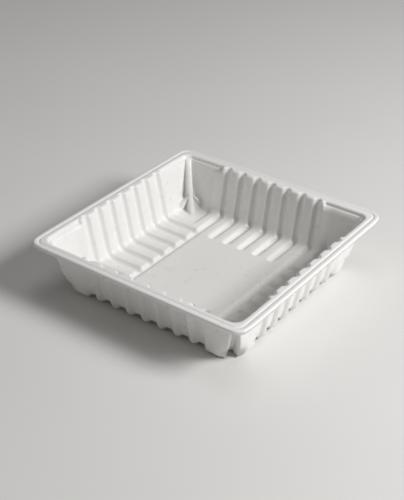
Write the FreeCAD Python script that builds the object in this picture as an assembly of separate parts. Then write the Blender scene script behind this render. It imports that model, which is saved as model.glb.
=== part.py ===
import FreeCAD, Part
import math
import os
from FreeCAD import Vector

# Thermoformed stacking tray, one sheet of plastic. Millimetres, +Z up, origin at the bottom centre.
# The tray is built the way its mould is: the open space inside it, which is the mould's side of the sheet,
# is one body, and the same body grown by the sheet's thickness is its outside. The sheet lies between them.

# ---- Driving dimensions ---------------------------------------------------------------------------
sheet = 0.5                     # thickness of the formed sheet
rim_half = 95.0                 # half of the rim's outer side
rim_corner = 10.5               # corner radius of the rim
rim_height = 43.0               # top of the rim above the ground
rim_edge = 1.0                  # height of the rounded-over edge, drawn as two facets
lip_drop = 3.0                  # how far the rim's edge is turned down
groove_middle = 4.0             # distance of the rim's stiffening groove from its edge
groove_width = 2.6
groove_depth = 0.6

floor_height = sheet            # inner side of the low floor
ridge_height = 3.0              # height of the ridges and of the middle panel above the low floor
flute_pitch = 14.25             # spacing of the flutes on every wall
flutes_each_wall = 7
flute_half_foot = 78.4          # half width between the bottoms of opposite flutes, at the low floor
wall_lean = 11.8                # lean of the fluted walls, degrees
flute_bend = 6.0                # radius where a flute turns from the wall to the floor
flute_radius = 2.7              # radius of a flute's rounded bottom
flute_draft = 22.5              # lean of the flanks, degrees
flute_shoulder = 2.30           # depth where the flank meets the bevel of the ridge's edge
shoulder_draft = 52.0           # lean of that bevel, degrees
flute_mouth = 4.7               # depth at which the flute's profile ends, always inside the open space
panel_reach = 41.0              # where the short flutes end, from the centre line
bend_steps = 2                  # straight steps in each bend between floor and wall
end_steps = 4                   # straight steps round the end of a short flute

crest_bend = 3.2                # radius where a ridge turns from the wall to the floor
crest_flare = 1.0               # bevel where a ridge meets the rim

corner_start = 53.3             # the plain corner panels begin here, from the centre line
corner_half_foot = 78.4         # half width between opposite corner panels, at the low floor
corner_lean = 9.0               # lean of the corner panels, degrees
corner_radius = 6.0             # size of the facet between two panels, as a radius
corner_bend = 4.6               # radius where a panel turns to the floor
ledge_drop = 3.0                # depth of the stacking ledge below the rim
ledge_half = 86.4               # half width of the step above the ledge
ledge_start = 49.0              # the ledge begins here, from the centre line
ledge_corner = 8.0

gusset_foot = 102.6             # distance of the corner gusset's face from the tray's axis, at the low floor
gusset_slope = 0.55             # how far the face leans out for each millimetre of height
rib_foot = 94.4                 # distance of the corner rib's crest from the tray's axis, at the low floor
rib_slope = 0.548               # how far that crest leans out for each millimetre of height
rib_width = 4.7
rib_edge = 1.0                  # bevel along the rib's crest

clear = 6.0                     # how far cutting bodies run past what they cut


# ---- Small helpers --------------------------------------------------------------------------------
def turned(shape, degrees):
    """A copy of the shape turned about the tray's axis."""
    copy = shape.copy()
    copy.rotate(Vector(0, 0, 0), Vector(0, 0, 1), degrees)
    return copy


def moved(shape, x, y, z):
    """A copy of the shape, shifted."""
    copy = shape.copy()
    copy.translate(Vector(x, y, z))
    return copy


def rounded_square(half, radius, height):
    """A closed wire: a square of the given half width with rounded corners, at one height."""
    straight = half - radius
    nook = straight + radius * math.cos(math.radians(45))
    edges = []
    for quarter in range(4):
        spin = FreeCAD.Rotation(Vector(0, 0, 1), 90 * quarter)
        side_from = spin.multVec(Vector(half, -straight, height))
        side_to = spin.multVec(Vector(half, straight, height))
        corner_middle = spin.multVec(Vector(nook, nook, height))
        corner_to = spin.multVec(Vector(straight, half, height))
        edges.append(Part.LineSegment(side_from, side_to).toShape())
        edges.append(Part.Arc(side_to, corner_middle, corner_to).toShape())
    return Part.Wire(edges)


def square_frustum(half_low, lean, low, high):
    """A square solid whose four walls lean outwards, or inwards below zero, by an angle in degrees."""
    half_high = half_low + (high - low) * math.tan(math.radians(lean))
    wires = []
    for half, height in ((half_low, low), (half_high, high)):
        corners = [(half, half), (-half, half), (-half, -half), (half, -half), (half, half)]
        wires.append([Vector(x, y, height) for x, y in corners])
    faces = [Part.Face(Part.makePolygon(wire)) for wire in wires]
    for side in range(4):
        outline = [wires[0][side], wires[0][side + 1], wires[1][side + 1], wires[1][side], wires[0][side]]
        faces.append(Part.Face(Part.makePolygon(outline)))
    return Part.makeSolid(Part.makeShell(faces))


def leaning_basin(half_low, lean, low, high, bend):
    """A square basin whose walls lean outwards, with the bend at their feet in a few straight steps."""
    path = bend_path(half_low, lean, low, bend)
    basin = square_frustum(half_low, lean, low, high)
    for start, end in zip(path, path[1:]):
        rise = end.z - start.z
        step_lean = math.degrees(math.atan2(end.x - start.x, rise))
        reach = math.tan(math.radians(step_lean))
        basin = basin.common(square_frustum(start.x - reach * (start.z - low), step_lean, low, high))
    return basin


def bend_path(half_low, lean, low, bend):
    """Points round the bend between the floor and a leaning wall, from the floor up."""
    tangent = bend * math.tan(math.radians(90 - lean) / 2)
    centre = Vector(half_low - tangent, 0, low + bend)
    points = []
    for step in range(bend_steps + 1):
        angle = math.radians((90 - lean) * step / bend_steps)
        points.append(centre + Vector(math.sin(angle), 0, -math.cos(angle)) * bend)
    return points


# ---- The flutes: one channel profile carried down the wall, round the bend and along the floor ------
def flute_profile(grow, origin, across, inward):
    """The channel's closed profile. It is grown by the sheet for the tray's outside."""
    draft = math.radians(flute_draft)
    bevel = math.radians(shoulder_draft)
    radius = flute_radius + grow
    touch_side = radius * math.cos(draft)
    touch_depth = flute_radius - radius * math.sin(draft)

    # The flank and the bevel both move out by the growth, so their corner moves along the bisector.
    shift = grow / (1 + math.cos(bevel - draft))
    plain_depth = flute_radius * (1 - math.sin(draft))
    shoulder_side = flute_radius * math.cos(draft) + (flute_shoulder - plain_depth) * math.tan(draft)
    shoulder_side += shift * (math.cos(draft) + math.cos(bevel))
    shoulder_depth = flute_shoulder - shift * (math.sin(draft) + math.sin(bevel))
    mouth_side = shoulder_side + (flute_mouth - shoulder_depth) * math.tan(bevel)

    def at(side, depth):
        return origin + across * side + inward * depth

    corners = [
        at(touch_side, touch_depth),
        at(shoulder_side, shoulder_depth),
        at(mouth_side, flute_mouth),
        at(-mouth_side, flute_mouth),
        at(-shoulder_side, shoulder_depth),
        at(-touch_side, touch_depth),
    ]
    edges = [Part.LineSegment(start, end).toShape() for start, end in zip(corners, corners[1:])]
    edges.append(Part.Arc(corners[-1], at(0, -grow), corners[0]).toShape())
    return Part.Wire(edges)


def beyond(point, direction):
    """A large block on the far side of a plane, for cutting a run to its mitre."""
    size = 6 * rim_half
    block = Part.makeBox(size, size, size, Vector(-size / 2, -size / 2, 0))
    block.Placement = FreeCAD.Placement(point, FreeCAD.Rotation(Vector(0, 0, 1), direction))
    return block


def straight_run(grow, start, end, start_mitre, end_mitre, across, inward):
    """One straight stretch of a flute, with its ends cut to mitre planes."""
    direction = (end - start).normalize()
    wire = flute_profile(grow, start - direction * clear, across, inward)
    run = Part.Face(wire).extrude(direction * (end.distanceToPoint(start) + 2 * clear))
    return run.cut([beyond(start, start_mitre * -1), beyond(end, end_mitre)])


def flute(grow, floor_end, rounded_end):
    """A flute of the +X wall, on the centre line: wall run, bend and floor run to x = floor_end."""
    lean = math.radians(wall_lean)
    across = Vector(0, 1, 0)
    up = Vector(0, 0, 1)
    bend = bend_path(flute_half_foot, wall_lean, floor_height, flute_bend)
    length = (rim_height + clear - bend[-1].z) / math.cos(lean)
    path = [Vector(floor_end, 0, floor_height)] + bend
    path.append(bend[-1] + Vector(math.sin(lean), 0, math.cos(lean)) * length)
    directions = [(end - start).normalize() for start, end in zip(path, path[1:])]
    mitres = [directions[0]]
    mitres += [(before + after).normalize() for before, after in zip(directions, directions[1:])]
    mitres.append(directions[-1])
    runs = []
    for number, direction in enumerate(directions):
        inward = direction.cross(across)
        start_mitre, end_mitre = mitres[number], mitres[number + 1]
        runs.append(straight_run(grow, path[number], path[number + 1], start_mitre, end_mitre, across, inward))
    if rounded_end:
        runs += [moved(sector, floor_end, 0, 0) for sector in round_end(grow)]
    return runs[0].multiFuse(runs[1:]).removeSplitter()


def round_end(grow):
    """The end of a short flute: the profile turned about an upright line in straight steps."""
    up = Vector(0, 0, 1)
    profile = Part.Face(flute_profile(grow, up * floor_height, Vector(0, 1, 0), up))
    turn = 180 / end_steps
    sectors = []
    for step in range(end_steps + 1):
        heading = FreeCAD.Rotation(up, turn * step).multVec(Vector(-1, 0, 0))
        first = FreeCAD.Rotation(up, turn * (step - 0.5)).multVec(Vector(-1, 0, 0))
        last = FreeCAD.Rotation(up, turn * (step + 0.5)).multVec(Vector(-1, 0, 0))
        facet = turned(profile, turn * step)
        facet.translate(heading * -clear)
        sector = facet.extrude(heading * (2 * clear))
        sectors.append(sector.cut([beyond(Vector(0, 0, 0), first * -1), beyond(Vector(0, 0, 0), last)]))
    return sectors


def all_flutes(grow):
    """The flutes of the four walls."""
    nose = flute_radius
    outermost = (flutes_each_wall - 1) // 2
    short = flute(grow, panel_reach + nose, True)
    joining = flute(grow, outermost * flute_pitch, False)
    through = flute(grow, -clear, False)
    bodies = []
    for place in range(-outermost, outermost + 1):
        shift = place * flute_pitch
        for wall in (0, 180):
            bodies.append(turned(moved(joining, 0, shift, 0), wall))
        for wall in (90, 270):
            model = through if abs(place) == outermost else short
            bodies.append(turned(moved(model, 0, shift, 0), wall))
    return bodies


# ---- The corners: plain panels under a stacking ledge, a gusset face and a rib ---------------------
def diagonal_bar(reach_foot, slope, grow, width):
    """A bar of solid beyond a leaning face: the face is reach_foot from the axis at the low floor."""
    low = -clear
    high = rim_height + 2 * clear
    shift = grow * math.sqrt(1 + slope ** 2)
    reach_low = reach_foot + shift + slope * (low - floor_height)
    reach_high = reach_foot + shift + slope * (high - floor_height)
    far = 2 * rim_half
    outline = [(reach_low, low), (reach_high, high), (far, high), (far, low), (reach_low, low)]
    wire = Part.makePolygon([Vector(reach, -width / 2, height) for reach, height in outline])
    return Part.Face(wire).extrude(Vector(0, width, 0))


def corner_column(start, grow, low, high):
    """The square column that holds one corner of the tray."""
    size = rim_half + clear - start
    column = Part.makeBox(size + grow, size + grow, high - low)
    column.translate(Vector(start - grow, start - grow, low))
    return column


def corner_solids(grow):
    """What stands into the open space at one corner: the gusset and the rib, below the ledge."""
    ledge = rim_height - ledge_drop - grow
    gusset = diagonal_bar(gusset_foot, gusset_slope, grow, 2 * rim_half)
    rib = diagonal_bar(rib_foot, rib_slope, grow, rib_width - 2 * grow)
    crest = [edge for edge in rib.Edges if edge.Length > rim_height + clear and edge.BoundBox.XMax < 1.5 * rim_half]
    rib = rib.makeChamfer(rib_edge - grow * (2 - math.sqrt(2)), crest)
    both = gusset.fuse(rib)
    below = Part.makeBox(4 * rim_half, 4 * rim_half, ledge + clear)
    below.translate(Vector(0, -2 * rim_half, -clear))
    return both.common(below)


def open_space(grow):
    """Everything inside the tray, grown outwards by the given amount."""
    low = floor_height + ridge_height
    top = rim_height + clear
    ledge = rim_height - ledge_drop - grow
    lean = math.radians(wall_lean)
    crest_half = flute_half_foot - (ridge_height - grow) * (1 / math.cos(lean) - math.tan(lean))
    body = leaning_basin(crest_half, wall_lean, low - grow, top, crest_bend + grow)
    flare_half = crest_half + (rim_height - low + grow) * math.tan(lean) + crest_flare
    flare_half += grow * (math.sqrt(2) - 1 / math.cos(lean))
    body = body.fuse(square_frustum(flare_half - rim_height + ledge, 45, ledge, top))

    panel = math.radians(corner_lean)
    corner_half = corner_half_foot + grow * (1 / math.cos(panel) - math.tan(panel))
    corners = leaning_basin(corner_half, corner_lean, floor_height - grow, ledge, corner_bend + grow)
    facet_half = (corner_half - corner_radius) * math.sqrt(2) + corner_radius
    facet_lean = math.degrees(math.atan(math.sqrt(2) * math.tan(panel)))
    corners = corners.common(turned(square_frustum(facet_half, facet_lean, floor_height - grow, ledge), 45))
    body = body.common(turned(square_frustum(facet_half - sheet, facet_lean, floor_height - grow, top), 45))
    step = Part.Face(rounded_square(ledge_half + grow, ledge_corner + grow, ledge))
    step = step.extrude(Vector(0, 0, top - ledge))
    parts = all_flutes(grow)
    for quarter in range(4):
        parts.append(corners.common(turned(corner_column(corner_start, grow, -clear, ledge), 90 * quarter)))
        parts.append(step.common(turned(corner_column(ledge_start, grow, ledge, top), 90 * quarter)))
    body = body.multiFuse(parts)
    stand_in = corner_solids(grow)
    return body.cut([turned(stand_in, 45 + 90 * quarter) for quarter in range(4)])


# ---- The rim: a thin profile carried round the tray's outline --------------------------------------
def rim():
    """The flat rim with its stiffening groove and turned-down edge."""
    top = rim_height
    near = groove_middle - groove_width / 2
    far = groove_middle + groove_width / 2
    inner = (rim_corner + far) / 2
    slope = groove_depth
    facet = rim_edge * (1 - math.cos(math.radians(45)))
    skin = sheet * math.tan(math.radians(22.5))

    def at(inset, height):
        return Vector(rim_half - inset, 0, height)

    outline = [
        at(0, top - lip_drop),
        at(0, top - rim_edge),
        at(facet, top - facet),
        at(rim_edge, top),
        at(near, top),
        at(near + slope, top - groove_depth),
        at(far - slope, top - groove_depth),
        at(far, top),
        at(inner, top),
        at(inner, top - sheet),
        at(far - skin, top - sheet),
        at(far - slope - skin, top - groove_depth - sheet),
        at(near + slope + skin, top - groove_depth - sheet),
        at(near + skin, top - sheet),
        at(rim_edge, top - sheet),
        at(sheet, top - rim_edge),
        at(sheet, top - lip_drop),
        at(0, top - lip_drop),
    ]
    profile = Part.Face(Part.makePolygon(outline))
    straight = rim_half - rim_corner
    runs = []
    for quarter in range(4):
        side = moved(profile, 0, -straight, 0).extrude(Vector(0, 2 * straight, 0))
        bend = moved(profile, 0, straight, 0).revolve(Vector(straight, straight, 0), Vector(0, 0, 1), 90)
        runs.append(turned(side, 90 * quarter))
        runs.append(turned(bend, 90 * quarter))
    plate_inset = (inner + far) / 2
    plate = Part.Face(rounded_square(rim_half - plate_inset, rim_corner - plate_inset, top - sheet))
    runs.append(plate.extrude(Vector(0, 0, sheet)))
    return runs[0].multiFuse(runs[1:])


def tray():
    """The whole tray: outside minus inside, with the rim."""
    below = Part.makeBox(4 * rim_half, 4 * rim_half, rim_height - sheet / 2 + clear)
    below.translate(Vector(-2 * rim_half, -2 * rim_half, -clear))
    outside = open_space(sheet).common(below)
    return outside.fuse(rim()).cut(open_space(0)).removeSplitter()


os.makedirs("parts", exist_ok=True)
body = tray()
print("solids", len(body.Solids), "faces", len(body.Faces), "valid", body.isValid())
print("volume", round(body.Volume, 1), "size", body.BoundBox)
body.Solids[0].exportStep("parts/tray.step")
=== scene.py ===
"""A thermoformed plastic food tray on a pale studio floor.

Metres, with +Z up and the origin on the ground under the middle of the tray.
"""

import logging
import math
from dataclasses import dataclass, field
from enum import Enum

import bpy
import numpy as np
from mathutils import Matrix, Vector


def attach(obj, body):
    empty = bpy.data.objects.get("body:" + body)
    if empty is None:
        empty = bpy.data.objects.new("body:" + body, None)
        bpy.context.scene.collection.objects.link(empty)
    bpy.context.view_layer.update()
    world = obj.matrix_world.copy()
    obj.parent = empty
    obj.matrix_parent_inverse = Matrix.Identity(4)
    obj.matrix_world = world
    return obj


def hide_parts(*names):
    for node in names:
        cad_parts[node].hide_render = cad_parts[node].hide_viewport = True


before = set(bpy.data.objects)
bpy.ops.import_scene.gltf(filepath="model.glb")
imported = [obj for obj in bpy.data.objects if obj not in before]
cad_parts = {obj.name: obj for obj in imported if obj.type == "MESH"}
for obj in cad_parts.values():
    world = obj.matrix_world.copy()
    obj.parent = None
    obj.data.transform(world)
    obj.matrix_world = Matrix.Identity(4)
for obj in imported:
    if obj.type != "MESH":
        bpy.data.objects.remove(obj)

log = logging.getLogger("tray")
MM = 0.001
Place = tuple[np.ndarray, np.ndarray, np.ndarray]


class Side(Enum):
    """The two faces of the formed sheet."""

    MOULD = "inside and top"
    BACK = "outside and underside"


@dataclass(frozen=True)
class TraySizes:
    """Driving sizes of the tray, in millimetres and degrees.

    A half is measured from the middle plane, and a reach along the diagonal from the middle.
    """

    # The sheet and the rim.
    sheet: float = 0.5
    height: float = 43.0
    rim_half: float = 95.0
    rim_corner: float = 10.5
    rim_round: float = 1.8
    lip_drop: float = 3.0
    edge_radius: float = 1.0
    groove_middle: float = 4.0
    groove_half: float = 1.5
    groove_depth: float = 0.6
    # The walls, the floor and the flutes.
    floor: float = 0.5
    wall_lean: float = 11.8
    pitch: float = 14.25
    outermost: int = 3
    flute_half: float = 78.4
    flute_bend: float = 6.0
    flute_corner: float = 1.0
    flute_side: float = 1.8
    flute_draft: float = 22.5
    flute_round: float = 2.4
    flute_end_gap: float = 1.0
    panel_reach: float = 41.0
    ridge: float = 3.0
    ridge_round: float = 1.3
    crest_bend: float = 3.4
    crest_corner: float = 12.0
    # The corners: plain panels, stacking ledge, gusset face and rib.
    corner_start: float = 53.3
    corner_half: float = 78.4
    corner_lean: float = 9.0
    corner_round: float = 6.0
    corner_bend: float = 4.6
    corner_edge: float = 1.2
    ledge: float = 40.0
    ledge_half: float = 86.4
    ledge_start: float = 49.0
    ledge_round: float = 8.0
    ledge_edge: float = 0.7
    ledge_blend: float = 0.6
    gusset_reach: float = 102.6
    gusset_slope: float = 0.55
    gusset_round: float = 1.5
    rib_reach: float = 94.4
    rib_slope: float = 0.548
    rib_half: float = 1.9
    rib_draft: float = 14.0
    rib_round: float = 1.1
    rib_top_round: float = 0.6
    rib_foot_round: float = 0.8


def both(a: np.ndarray, b: np.ndarray, radius: float) -> np.ndarray:
    """Inside both spaces, with the edge between them rounded.

    Args:
        a: Distance to the first space's wall, negative inside it.
        b: The same for the second space.
        radius: Radius of the rounding.

    Returns:
        Distance to the wall of what the two spaces share.
    """
    flat = np.minimum(-radius, np.maximum(a, b))
    return flat + np.hypot(np.maximum(a + radius, 0), np.maximum(b + radius, 0))


def either(a: np.ndarray, b: np.ndarray, radius: float) -> np.ndarray:
    """Inside one space or the other, with a rounded edge: the open and the solid of both() swapped."""
    return -both(-a, -b, radius)


@dataclass(frozen=True)
class MouldSpace:
    """The open space above the sheet's mould side, as a distance that is negative in the open.

    The tray is the same on both sides of its two middle planes, so a place is given as three arrays:
    its distances from those planes, x and y, and its height z.
    """

    size: TraySizes
    back_off: float = 14.0
    steps: int = 70
    share: float = 0.85
    slope_step: float = 0.02

    def basin(
        self, at: Place, half: float, lean: float, foot: float, bend: float, corner: float
    ) -> np.ndarray:
        """A square basin with leaning walls that bend into a level floor.

        Args:
            at: The place.
            half: Where a wall would meet the floor with no bend.
            lean: Lean of the walls, in degrees.
            foot: Height of the floor.
            bend: Radius of the bend.
            corner: Radius of the upright corners.

        Returns:
            Distance to the basin.
        """
        x, y, z = at
        angle = math.radians(lean)
        drop = (z - foot) * math.sin(angle)
        walls = both((x - half) * math.cos(angle) - drop, (y - half) * math.cos(angle) - drop, corner)
        return both(walls, foot - z, bend)

    def crests(self, at: Place) -> np.ndarray:
        """The basin at the tops of the ridges, which lies a ridge's height inside the flutes' own.

        Args:
            at: The place.

        Returns:
            Distance to that basin.
        """
        s = self.size
        angle = math.radians(s.wall_lean)
        half = s.flute_half - s.ridge * (1 / math.cos(angle) - math.tan(angle))
        return self.basin(at, half, s.wall_lean, s.floor + s.ridge, s.crest_bend, s.crest_corner)

    def flank(self, depth: np.ndarray, side: np.ndarray) -> np.ndarray:
        """The flanks of a channel, whose width grows by the draft from its bottom towards the open."""
        draft = math.radians(self.size.flute_draft)
        return (side - self.size.flute_side) * math.cos(draft) + depth * math.sin(draft)

    def flutes(self, at: Place) -> np.ndarray:
        """All the flutes, as channels sunk from the crests to one deeper basin.

        Those in the walls across X open into the two long channels. The five middle ones of the walls
        across Y end in a half round before the middle panel.

        Args:
            at: The place.

        Returns:
            Distance to the flutes.
        """
        s = self.size
        x, y, _ = at
        deep = self.basin(at, s.flute_half, s.wall_lean, s.floor, s.flute_bend, s.flute_corner)
        long_channel = s.pitch * s.outermost
        aside_y = np.abs(y - s.pitch * np.clip(np.round(y / s.pitch), 0, s.outermost))
        aside_x = np.abs(x - s.pitch * np.clip(np.round(x / s.pitch), 0, s.outermost - 1))
        end = np.maximum(s.panel_reach + s.flute_side + s.flute_end_gap - y, 0)
        flanks = np.maximum(self.flank(deep, aside_y), long_channel - x)
        flanks = either(flanks, self.flank(deep, np.hypot(aside_x, end)), s.ridge_round)
        flanks = either(flanks, self.flank(deep, np.abs(x - long_channel)), s.ridge_round)
        return both(deep, flanks, s.flute_round)

    def corner(self, at: Place) -> np.ndarray:
        """A corner's plain panels: a basin of their own, cut off where the flutes begin.

        Args:
            at: The place.

        Returns:
            Distance to the panels.
        """
        s = self.size
        half, lean, bend = s.corner_half, s.corner_lean, s.corner_bend
        panels = self.basin(at, half, lean, s.floor, bend, s.corner_round)
        return both(panels, s.corner_start - np.minimum(at[0], at[1]), s.corner_edge)

    def step(self, at: Place) -> np.ndarray:
        """The wider space above a corner's stacking ledge: upright walls, and a level bottom.

        Args:
            at: The place.

        Returns:
            Distance to that space.
        """
        s = self.size
        x, y, z = at
        square = both(x - s.ledge_half, y - s.ledge_half, s.ledge_round)
        above = both(square, s.ledge - z, s.ledge_edge)
        return both(above, s.ledge_start - np.minimum(x, y), s.ledge_edge)

    def gusset(self, at: Place) -> np.ndarray:
        """The open side of the gusset face, a slanting plane across a corner's diagonal.

        Args:
            at: The place.

        Returns:
            Distance to the face.
        """
        s = self.size
        x, y, z = at
        reach = (x + y) / math.sqrt(2)
        face = s.gusset_reach + s.gusset_slope * (z - s.floor)
        return (reach - face) / math.hypot(1, s.gusset_slope)

    def rib(self, at: Place) -> np.ndarray:
        """The rib on a corner's diagonal.

        Its crest slants like the gusset, its sides widen by the draft, and it ends at the ledge.

        Args:
            at: The place.

        Returns:
            Distance to the rib, negative inside it.
        """
        s = self.size
        x, y, z = at
        reach, across = (x + y) / math.sqrt(2), np.abs(x - y) / math.sqrt(2)
        crest = (s.rib_reach + s.rib_slope * (z - s.floor) - reach) / math.hypot(1, s.rib_slope)
        draft = math.radians(s.rib_draft)
        side = (across - s.rib_half) * math.cos(draft) + crest * math.sin(draft)
        return both(both(side, crest, s.rib_round), z - s.ledge, s.rib_top_round)

    def distance(self, points: np.ndarray) -> np.ndarray:
        """Distance from each point to the sheet.

        The crests' basin, the flutes, the corners and the steps above the ledges are open. The gusset
        faces and the ribs then stand into them, and all above the rim is open.

        Args:
            points: Array whose last axis is x, y, z in millimetres.

        Returns:
            One distance a point, negative in the open space.
        """
        s = self.size
        at = (np.abs(points[..., 0]), np.abs(points[..., 1]), points[..., 2])
        space = either(self.crests(at), self.flutes(at), s.ridge_round)
        space = either(space, self.corner(at), s.corner_edge)
        space = either(space, self.step(at), s.ledge_blend)
        space = both(space, self.gusset(at), s.gusset_round)
        space = both(space, -self.rib(at), s.rib_foot_round)
        return either(space, s.height - at[2], s.rim_round)

    def towards_sheet(self, points: np.ndarray) -> np.ndarray:
        """Unit vectors from the open space into the sheet: the slope of the distance, from differences.

        Args:
            points: Points on the sheet's mould side.

        Returns:
            One unit vector a point.
        """
        moves = self.slope_step * np.eye(3)
        slopes = [self.distance(points + move) - self.distance(points - move) for move in moves]
        slope = np.stack(slopes, axis=-1)
        return slope / np.linalg.norm(slope, axis=-1, keepdims=True)

    def meet(self, points: np.ndarray, aim: np.ndarray) -> np.ndarray:
        """Moves points along their aims until they lie on the sheet.

        Each starts well back in the open, and moves on by a share of its distance at every step.

        Args:
            points: Points near the sheet.
            aim: Unit vectors towards the sheet.

        Returns:
            The points where each line first meets the sheet.
        """
        travel = np.full(points.shape[:-1], -self.back_off)
        for _ in range(self.steps):
            travel -= self.share * self.distance(points + travel[..., None] * aim)
        return points + travel[..., None] * aim


@dataclass(frozen=True)
class Rings:
    """The path above the sheet from which lines find it, ring by ring, in millimetres.

    It runs along the edge of the floor, round the bend, up the wall and round the rim's inner edge. It
    gives the tray no shape, and only shares out the faces. Corners are the radii of the rings in plan.
    """

    level: float = 2.0
    floor_rings: tuple[tuple[float, float], ...] = ((67.4, 0.6), (69.0, 1.4), (70.6, 2.2))
    bend_half: float = 71.6
    bend_radius: float = 5.4
    bend_corner: float = 3.0
    bend_steps: int = 10
    rises: tuple[float, ...] = (3, 6.5, 10.5, 15, 19.5, 24, 27.5, 29.6)
    rise_widening: float = 1 / 12
    rim_half: float = 89.2
    rim_height: float = 38.4
    rim_radius: float = 4.6
    rim_corner: float = 8.0
    rim_narrowing: float = 3.2
    rim_steps: int = 12

    def stations(self, wall_lean: float) -> np.ndarray:
        """Places of the rings. The bend and the rim's edge are arcs, and the wall is straight.

        Args:
            wall_lean: Lean of the walls, in degrees.

        Returns:
            Half width, corner radius, height and aim angle of each ring, from the floor to the rim. An
            aim of nought is straight down, and 90 degrees would be level and outward.
        """
        lean = 90 - wall_lean
        rows = [(half, corner, self.level, 0) for half, corner in self.floor_rings]
        for angle in np.linspace(0, lean, self.bend_steps):
            turn = math.radians(angle)
            half = self.bend_half + self.bend_radius * math.sin(turn)
            height = self.level + self.bend_radius * (1 - math.cos(turn))
            rows.append((half, self.bend_corner * (1 + angle / lean), height, angle))
        half, foot_corner, height, _ = rows[-1]
        tangent = math.tan(math.radians(wall_lean))
        for rise in self.rises:
            corner = foot_corner + rise * self.rise_widening
            rows.append((half + rise * tangent, corner, height + rise, lean))
        for angle in np.linspace(lean, 0, self.rim_steps + 1)[1:]:
            turn = math.radians(angle)
            half = self.rim_half - self.rim_radius * math.sin(turn)
            corner = self.rim_corner - self.rim_narrowing * (1 - angle / lean)
            rows.append((half, corner, self.rim_height + self.rim_radius * math.cos(turn), angle))
        return np.array(rows)


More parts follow.
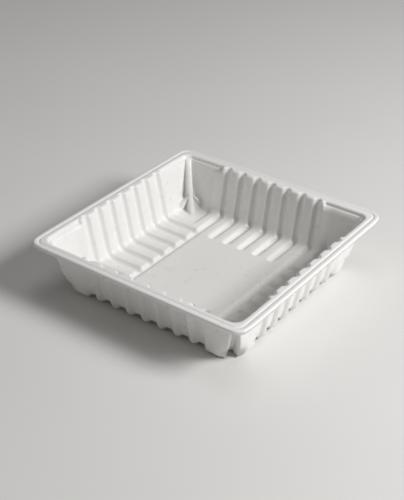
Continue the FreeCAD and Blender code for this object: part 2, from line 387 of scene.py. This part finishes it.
@dataclass
class Tray:
    """The formed sheet, as one closed skin: mould side, back, and the cut edge of the lip."""

    size: TraySizes
    material: bpy.types.Material
    rings: Rings = Rings()
    floor_edge: float = 66.0
    straight: float = 49.8
    flute_lines: tuple[float, ...] = (1.1, 1.9, 2.5, 3.0, 3.6, 4.5)
    corner_lines: tuple[float, ...] = (48.4, 49.2, 49.8, 51.6, 52.8, 53.6, 54.6, 56.6, 59.2)
    rib_lines: tuple[float, ...] = (4.4, 3.4, 2.9, 2.5, 2.1, 1.6, 0.9, 0.0)
    upright_within: float = 2.6
    upright_fade: float = 5.0
    groove_points: int = 9
    edge_points: int = 6
    space: MouldSpace = field(init=False)

    def __post_init__(self) -> None:
        """Sets up the space above the sheet."""
        self.space = MouldSpace(self.size)

    def lines(self) -> np.ndarray:
        """Grid lines along one side, closer together where the flutes curve and beside the ribs.

        Returns:
            Places of the lines, from one end of the side to the other.
        """
        s = self.size
        aside = np.array(self.flute_lines)
        across = np.concatenate([-aside[::-1], [0.0], aside])
        places = np.arange(-s.outermost, s.outermost + 1) * s.pitch
        flutes = (places[:, None] + across[None, :]).ravel()
        ridges = places[:-1] + s.pitch / 2
        rib = self.floor_edge - np.array(self.rib_lines)
        outer = np.concatenate([self.corner_lines, rib])
        return np.sort(np.concatenate([flutes, ridges, outer, -outer]))

    def ring(self, half: np.ndarray, corner: np.ndarray) -> tuple[np.ndarray, np.ndarray]:
        """Closed rounded squares with the grid's lines on them.

        The straight part keeps each line's place. Beyond it the lines share out the length left to the
        corner's middle, except the rib's lines, which keep their distance from that middle.

        Args:
            half: Half width of each square.
            corner: Corner radius of each square.

        Returns:
            Places in plan and outward unit vectors in plan, each squares by lines by 2.
        """
        lines = self.lines()
        half, corner = half[:, None], corner[:, None]
        place = np.abs(lines)[None, :]
        length = half - corner + corner * math.pi / 4
        widest = self.rib_lines[0]
        scale = (length - widest - self.straight) / (self.floor_edge - widest - self.straight)
        beyond = place - self.straight
        along = np.where(beyond > 0, self.straight + beyond * scale, place)
        by_rib = place > self.floor_edge - widest - 1e-6
        along = np.where(by_rib, length - (self.floor_edge - place), along)
        turn = np.clip((along - half + corner) / np.maximum(corner, 1e-6), 0, math.pi / 4)
        straight = np.minimum(along, half - corner)
        out = half - corner + corner * np.cos(turn)
        aside = (straight + corner * np.sin(turn)) * np.sign(lines)
        normal = np.stack([np.cos(turn), np.sin(turn) * np.sign(lines)], axis=-1)
        plan = np.stack([out, aside], axis=-1)
        sides, aims = [], []
        for quarter in range(4):
            c = round(math.cos(quarter * math.pi / 2))
            n = round(math.sin(quarter * math.pi / 2))
            spin = np.array([[c, n], [-n, c]])
            sides.append(plan[:, :-1] @ spin)
            aims.append(normal[:, :-1] @ spin)
        return np.concatenate(sides, axis=1), np.concatenate(aims, axis=1)

    def rim_profile(self) -> np.ndarray:
        """The rim from its groove to the cut edge of its lip.

        The groove is one dip of a raised cosine. The edge is a quarter circle, and the lip is upright.

        Returns:
            Half width, height, and the outward and upward parts of the way into the sheet, a row for
            each ring.
        """
        s = self.size
        dip = np.linspace(-1, 1, self.groove_points)
        groove_half = s.rim_half - s.groove_middle + dip * s.groove_half
        groove_up = s.height - s.groove_depth * (0.5 + 0.5 * np.cos(math.pi * dip))
        slope = s.groove_depth * 0.5 * math.pi * np.sin(math.pi * dip) / s.groove_half
        groove_in = np.stack([slope, -np.ones_like(slope)], axis=1) / np.hypot(1, slope)[:, None]
        turn = np.radians(np.linspace(0, 90, self.edge_points))
        edge_half = s.rim_half - s.edge_radius * (1 - np.sin(turn))
        edge_up = s.height - s.edge_radius * (1 - np.cos(turn))
        edge_in = -np.stack([np.sin(turn), np.cos(turn)], axis=1)
        half = np.concatenate([groove_half, edge_half, [s.rim_half]])
        up = np.concatenate([groove_up, edge_up, [s.height - s.lip_drop]])
        inward = np.concatenate([groove_in, edge_in, [[-1.0, 0.0]]])
        return np.column_stack([half, up, inward])

    def skins(self) -> dict[Side, tuple[np.ndarray, np.ndarray]]:
        """Points of both faces of the sheet. The back is the mould side moved in by its thickness.

        Returns:
            The floor grid and the rings of each face, in millimetres.
        """
        s = self.size
        lines = self.lines()
        x, y = np.meshgrid(lines, lines, indexing="ij")
        level = np.stack([x, y, np.full_like(x, self.rings.level)], axis=-1)
        floor = self.space.meet(level, np.array([0.0, 0.0, -1.0]))

        rows = self.rings.stations(s.wall_lean)
        plan, out = self.ring(rows[:, 0], rows[:, 1])
        # Near the rib the aims stay upright, because it stands further in than the bend's centre.
        apart = self.floor_edge - np.abs(np.tile(lines[:-1], 4))
        lean = np.clip((apart - self.upright_within) / self.upright_fade, 0, 1)
        turn = np.radians(rows[:, 3])[:, None] * lean[None, :]
        aim = np.concatenate([out * np.sin(turn)[..., None], -np.cos(turn)[..., None]], axis=-1)
        wall = self.space.meet(self.raised(plan, rows[:, 2]), aim)

        profile = self.rim_profile()
        corner = s.rim_corner - (s.rim_half - profile[:, 0])
        plan, out = self.ring(profile[:, 0], corner)
        rim = self.raised(plan, profile[:, 1])
        rim_in = self.raised(out * profile[:, 2][:, None, None], profile[:, 3])

        back_floor = floor + s.sheet * self.space.towards_sheet(floor)
        back_wall = wall + s.sheet * self.space.towards_sheet(wall)
        back_rim = rim + s.sheet * rim_in
        return {
            Side.MOULD: (floor, np.concatenate([wall, rim])),
            Side.BACK: (back_floor, np.concatenate([back_wall, back_rim])),
        }

    def raised(self, plan: np.ndarray, up: np.ndarray) -> np.ndarray:
        """Rings in plan with one upward part a ring added as their third axis."""
        column = np.broadcast_to(up[:, None], plan.shape[:2])
        return np.concatenate([plan, column[..., None]], axis=-1)

    def border(self, count: int) -> np.ndarray:
        """Indices of the floor grid's border, in the rings' order.

        Args:
            count: Points along one side of the floor grid.

        Returns:
            One index a point, once round.
        """
        grid = np.arange(count * count).reshape(count, count)
        sides = [grid[-1, :-1], grid[::-1, -1][:-1], grid[0, ::-1][:-1], grid[:, 0][:-1]]
        return np.concatenate(sides)

    def faces(self, count: int, rings: int, first: int) -> np.ndarray:
        """Quads of one face of the sheet, facing the open space.

        Args:
            count: Points along one side of the floor grid.
            rings: How many rings stand round it.
            first: Index of the face's first point.

        Returns:
            Four indices a quad.
        """
        grid = np.arange(count * count).reshape(count, count) + first
        floor = np.stack([grid[:-1, :-1], grid[1:, :-1], grid[1:, 1:], grid[:-1, 1:]], axis=-1)
        around = 4 * (count - 1)
        loops = np.arange(rings * around).reshape(rings, around) + first + count * count
        loops = np.concatenate([(self.border(count) + first)[None, :], loops])
        ahead = np.roll(loops, -1, axis=1)
        wall = np.stack([loops[:-1], loops[1:], ahead[1:], ahead[:-1]], axis=-1)
        return np.concatenate([floor.reshape(-1, 4), wall.reshape(-1, 4)])

    def build(self) -> bpy.types.Object:
        """Makes the tray's mesh object.

        Returns:
            The object, at the origin, with its place in its mesh.
        """
        skins = self.skins()
        count = len(self.lines())
        rings = len(skins[Side.MOULD][1])
        around = 4 * (count - 1)
        each = count * count + rings * around
        points = np.concatenate([part.reshape(-1, 3) for side in Side for part in skins[side]]) * MM
        mould = self.faces(count, rings, 0)
        back = self.faces(count, rings, each)[:, ::-1]
        last = np.arange(each - around, each)
        ahead = np.roll(last, -1)
        cut_edge = np.stack([last, last + each, ahead + each, ahead], axis=-1)
        quads = np.concatenate([mould, back, cut_edge])
        mesh = bpy.data.meshes.new("tray_sheet")
        mesh.vertices.add(len(points))
        mesh.vertices.foreach_set("co", points.ravel())
        mesh.loops.add(quads.size)
        mesh.loops.foreach_set("vertex_index", quads.ravel())
        mesh.polygons.add(len(quads))
        mesh.polygons.foreach_set("loop_start", np.arange(0, quads.size, 4))
        mesh.polygons.foreach_set("use_smooth", np.ones(len(quads), dtype=bool))
        mesh.update(calc_edges=True)
        mesh.validate()
        mesh.materials.append(self.material)
        sheet = bpy.data.objects.new("tray_sheet", mesh)
        bpy.context.scene.collection.objects.link(sheet)
        low, high = points[:, 2].min(), points[:, 2].max()
        log.info("tray: %d quads, lowest %.5f, highest %.5f", len(quads), low, high)
        return sheet


def linear(code: str) -> tuple[float, float, float, float]:
    """Turns an sRGB hex colour into linear light, by the standard's curve.

    Args:
        code: The colour, such as #F1F0EE.

    Returns:
        Red, green, blue and an opacity of one.
    """
    parts = [int(code[i:i + 2], 16) / 255 for i in (1, 3, 5)]
    light = [p / 12.92 if p <= 0.04045 else ((p + 0.055) / 1.055) ** 2.4 for p in parts]
    return (*light, 1.0)


@dataclass(frozen=True)
class SheetFinish:
    """Natural white polypropylene sheet, vacuum formed over a blasted aluminium mould.

    The forming leaves a soft satin gloss with a faint waviness that breaks up highlights, and the thin
    sheet lets a little light through, so shaded walls never go quite dark.
    """

    colour: str = "#F1F0EE"
    # Painted shade: the colour the sheet greys to at the floor, for the shade low in the tray.
    low_shade_colour: str = "#EAE9E6"
    roughness: float = 0.33
    roughness_spread: float = 0.08
    ior: float = 1.49
    through: float = 0.22
    scatter_mm: float = 1.2
    scatter_tint: tuple[float, float, float] = (1.0, 0.98, 0.95)
    patch_mm: float = 9.0
    patch_range: tuple[float, float] = (0.3, 0.7)
    wave_mm: float = 2.4
    wave_height_mm: float = 0.004
    grain_mm: float = 0.25
    grain_height_mm: float = 0.0012


@dataclass(frozen=True)
class FloorFinish:
    """Pale painted studio board, rolled on and matted, which gives a soft even ground."""

    colour: str = "#E8E7E5"
    shade_colour: str = "#E3E2E0"
    shade_mm: float = 140.0
    roughness: float = 0.72
    ior: float = 1.45
    grain_mm: float = 0.7
    grain_height_mm: float = 0.01


class Painter:
    """Builds one node material."""

    def __init__(self, name: str) -> None:
        """Starts the material with its shader, its output and the object's own coordinates.

        Args:
            name: The material's name.
        """
        self.material = bpy.data.materials.new(name)
        self.material.use_nodes = True
        self.tree = self.material.node_tree
        self.tree.nodes.clear()
        self.shader = self.node("ShaderNodeBsdfPrincipled", {})
        output = self.node("ShaderNodeOutputMaterial", {})
        self.tree.links.new(self.shader.outputs["BSDF"], output.inputs["Surface"])
        self.place = self.node("ShaderNodeTexCoord", {}).outputs["Object"]

    def node(
        self, kind: str, values: dict, links: dict | None = None, **settings: object
    ) -> bpy.types.Node:
        """Adds a node.

        Args:
            kind: Blender's name for the node.
            values: Socket values by socket name or number.
            links: Output sockets to join, by input socket name or number.
            settings: Properties of the node.

        Returns:
            The new node.
        """
        made = self.tree.nodes.new(kind)
        for name, value in settings.items():
            setattr(made, name, value)
        for name, value in values.items():
            made.inputs[name].default_value = value
        for name, source in (links or {}).items():
            self.tree.links.new(source, made.inputs[name])
        return made

    def noise(self, size_mm: float, detail: float) -> bpy.types.NodeSocket:
        """A noise whose features are about this size."""
        values = {"Scale": 1 / (size_mm * MM), "Detail": detail, "Roughness": 0.5}
        return self.node("ShaderNodeTexNoise", values, {"Vector": self.place}).outputs["Fac"]

    def bump(self, layers: list[tuple[float, float, float]]) -> None:
        """Raises the surface by layers of noise.

        Args:
            layers: Size in millimetres, detail, and height in millimetres of each layer.
        """
        normal = None
        for size_mm, detail, height_mm in layers:
            links = {"Height": self.noise(size_mm, detail)}
            if normal is not None:
                links["Normal"] = normal
            normal = self.node("ShaderNodeBump", {"Distance": height_mm * MM}, links).outputs["Normal"]
        self.tree.links.new(normal, self.shader.inputs["Normal"])

    def blend(self, factor: bpy.types.NodeSocket, low: str, high: str) -> None:
        """Sets the base colour to a blend of two colours.

        Args:
            factor: The share of the second colour.
            low: Hex colour at nought.
            high: Hex colour at one.
        """
        values = {"A": linear(low), "B": linear(high)}
        mix = self.node("ShaderNodeMix", {}, data_type="RGBA")
        for socket in mix.inputs:
            if socket.type == "RGBA" and socket.name in values:
                socket.default_value = values[socket.name]
        self.tree.links.new(factor, mix.inputs["Factor"])
        colour = next(socket for socket in mix.outputs if socket.type == "RGBA")
        self.tree.links.new(colour, self.shader.inputs["Base Color"])


def sheet_material(finish: SheetFinish, height_mm: float) -> bpy.types.Material:
    """The tray's material. It is a touch greyer towards the floor: painted shade on the lower walls and
    the floor.

    Args:
        finish: Colours, gloss and patterns.
        height_mm: Height of the tray.

    Returns:
        The node material.
    """
    paint = Painter("white_polypropylene")
    shader = paint.shader
    shader.inputs["IOR"].default_value = finish.ior
    shader.inputs["Subsurface Weight"].default_value = finish.through
    shader.inputs["Subsurface Radius"].default_value = finish.scatter_tint
    shader.inputs["Subsurface Scale"].default_value = finish.scatter_mm * MM
    parts = paint.node("ShaderNodeSeparateXYZ", {}, {0: paint.place})
    spread = {"From Min": 0.0, "From Max": height_mm * MM, "To Min": 0.0, "To Max": 1.0}
    height = paint.node("ShaderNodeMapRange", spread, {"Value": parts.outputs["Z"]})
    # Painted shade: the colour blends from the low shade colour at the floor to the sheet's colour at
    # the rim.
    paint.blend(height.outputs["Result"], finish.low_shade_colour, finish.colour)
    rough = {
        "From Min": finish.patch_range[0],
        "From Max": finish.patch_range[1],
        "To Min": finish.roughness - finish.roughness_spread,
        "To Max": finish.roughness + finish.roughness_spread,
    }
    patches = paint.node("ShaderNodeMapRange", rough, {"Value": paint.noise(finish.patch_mm, 2.0)})
    paint.tree.links.new(patches.outputs["Result"], shader.inputs["Roughness"])
    wave = (finish.wave_mm, 1.0, finish.wave_height_mm)
    grain = (finish.grain_mm, 2.0, finish.grain_height_mm)
    paint.bump([wave, grain])
    return paint.material


def floor_material(finish: FloorFinish) -> bpy.types.Material:
    """The studio board's material, in two close tones.

    Args:
        finish: Colours, gloss and grain.

    Returns:
        The node material.
    """
    paint = Painter("studio_board")
    paint.shader.inputs["Roughness"].default_value = finish.roughness
    paint.shader.inputs["IOR"].default_value = finish.ior
    paint.blend(paint.noise(finish.shade_mm, 2.0), finish.shade_colour, finish.colour)
    paint.bump([(finish.grain_mm, 3.0, finish.grain_height_mm)])
    return paint.material


@dataclass(frozen=True)
class Lamp:
    """A soft rectangular lamp that points at the tray."""

    name: str
    place: tuple[float, float, float]
    size: float
    watts: float
    aim: tuple[float, float, float] = (0, 0, 0.02)

    def build(self) -> None:
        """Adds the lamp to the scene."""
        data = bpy.data.lights.new(self.name, "AREA")
        data.shape = "SQUARE"
        data.size = self.size
        data.energy = self.watts
        lamp = bpy.data.objects.new(self.name, data)
        lamp.location = self.place
        way = Vector(self.aim) - Vector(self.place)
        lamp.rotation_euler = way.to_track_quat("-Z", "Y").to_euler()
        bpy.context.scene.collection.objects.link(lamp)


@dataclass(frozen=True)
class Studio:
    """The floor, the lamps, the surrounding light and the camera, in metres and watts."""

    camera_at: tuple[float, float, float] = (0.3968, -0.5428, 0.4493)
    looks_along: tuple[float, float, float] = (-0.5040, 0.6780, -0.5351)
    lens_mm: float = 93.9
    sensor_mm: float = 36.0
    floor_near: float = -4.0
    floor_half: float = 5.0
    sweep_start: float = 2.2
    sweep_radius: float = 1.2
    sweep_steps: int = 24
    backdrop_top: float = 4.0
    surround: str = "#C8C7C5"
    surround_strength: float = 0.24
    lamps: tuple[Lamp, ...] = (
        Lamp("key", (1.05, 0.30, 0.85), 0.45, 16.5),
        Lamp("fill", (-0.85, -0.75, 0.45), 0.6, 0.4),
        Lamp("top", (-0.1, 0.2, 1.3), 0.7, 2.0),
    )

    def floor(self, material: bpy.types.Material) -> bpy.types.Object:
        """A floor that rises to a backdrop in one sweep, far behind the tray.

        The height is nought up to the sweep's start, then a quarter circle, then a straight rise.

        Args:
            material: The board's material.

        Returns:
            The floor.
        """
        radius, start = self.sweep_radius, self.sweep_start
        turn = np.linspace(0, math.pi / 2, self.sweep_steps)
        away = np.concatenate([[self.floor_near, 0.0], start + radius * np.sin(turn), [start + radius]])
        up = np.concatenate([[0.0, 0.0], radius * (1 - np.cos(turn)), [self.backdrop_top]])
        across = np.array([-self.floor_half, 0.0, self.floor_half])
        heading = np.array(self.looks_along[:2]) / np.hypot(*self.looks_along[:2])
        right = np.array([heading[1], -heading[0]])
        plan = away[:, None, None] * heading + across[None, :, None] * right
        height = np.broadcast_to(up[:, None, None], plan.shape[:2] + (1,))
        points = np.concatenate([plan, height], axis=-1)
        grid = np.arange(len(away) * len(across)).reshape(-1, len(across))
        quads = np.stack([grid[:-1, :-1], grid[:-1, 1:], grid[1:, 1:], grid[1:, :-1]], axis=-1)
        quads = quads.reshape(-1, 4)
        mesh = bpy.data.meshes.new("floor")
        mesh.from_pydata(points.reshape(-1, 3).tolist(), [], quads.tolist())
        mesh.polygons.foreach_set("use_smooth", np.ones(len(quads), dtype=bool))
        mesh.update()
        mesh.materials.append(material)
        floor = bpy.data.objects.new("floor", mesh)
        bpy.context.scene.collection.objects.link(floor)
        return floor

    def surround_light(self) -> None:
        """Lights the scene evenly from all round."""
        world = bpy.data.worlds.new("surround")
        world.use_nodes = True
        background = world.node_tree.nodes["Background"]
        background.inputs["Color"].default_value = linear(self.surround)
        background.inputs["Strength"].default_value = self.surround_strength
        bpy.context.scene.world = world

    def camera(self) -> None:
        """Adds the camera that the scene is seen from."""
        data = bpy.data.cameras.new("camera")
        data.sensor_fit = "HORIZONTAL"
        data.sensor_width = self.sensor_mm
        data.lens = self.lens_mm
        camera = bpy.data.objects.new("camera", data)
        camera.location = self.camera_at
        camera.rotation_euler = Vector(self.looks_along).to_track_quat("-Z", "Y").to_euler()
        bpy.context.scene.collection.objects.link(camera)
        bpy.context.scene.camera = camera

    def build(self) -> None:
        """Adds everything that isn't the tray."""
        self.floor(floor_material(FloorFinish()))
        for lamp in self.lamps:
            lamp.build()
        self.surround_light()
        self.camera()
        bpy.context.scene.view_settings.view_transform = "Standard"


def main() -> None:
    """Builds the scene. The tray's build logs its quad count and its lowest and highest points."""
    logging.basicConfig(level=logging.INFO)
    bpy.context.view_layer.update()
    sizes = TraySizes()
    sheet = Tray(sizes, sheet_material(SheetFinish(), sizes.height)).build()
    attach(sheet, "root")
    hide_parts("tray")
    Studio().build()


if __name__ == "__main__":
    main()
